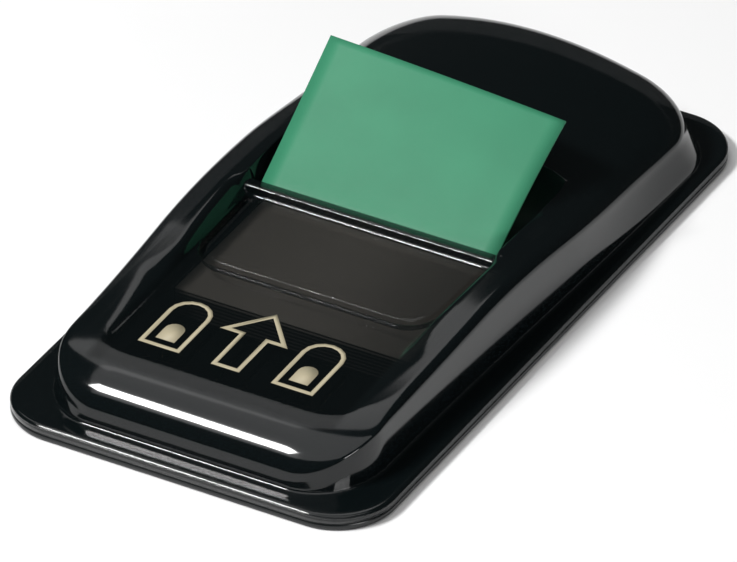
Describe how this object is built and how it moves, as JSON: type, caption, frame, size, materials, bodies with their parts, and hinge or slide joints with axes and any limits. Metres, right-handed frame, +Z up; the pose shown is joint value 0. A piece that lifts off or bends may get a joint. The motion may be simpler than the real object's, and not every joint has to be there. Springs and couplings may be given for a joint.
{
  "type": "sticky index tab dispenser",
  "caption": "Domed smoke-tinted pocket dispenser on a flat black base, holding a pad of film index tabs with the leading tab standing in its slot.",
  "frame": {"origin": "on the resting surface, under the middle of the base", "axes": "+Y along the body towards the hooded end, +X to the right seen from the label end, +Z up"},
  "size_m": [0.04, 0.076, 0.016],
  "materials": {
    "black_plastic": "glossy black moulded plastic",
    "smoke_plastic": "polished dark smoke-tinted plastic, faintly see-through",
    "pad_film": "stacked translucent film with a satin cut edge",
    "green_film": "satin writeable green film"
  },
  "bodies": {
    "root": {"base": "black_plastic", "cover": "smoke_plastic", "tab_pad": "pad_film", "leading_tab": "green_film"}
  },
  "joints": []
}
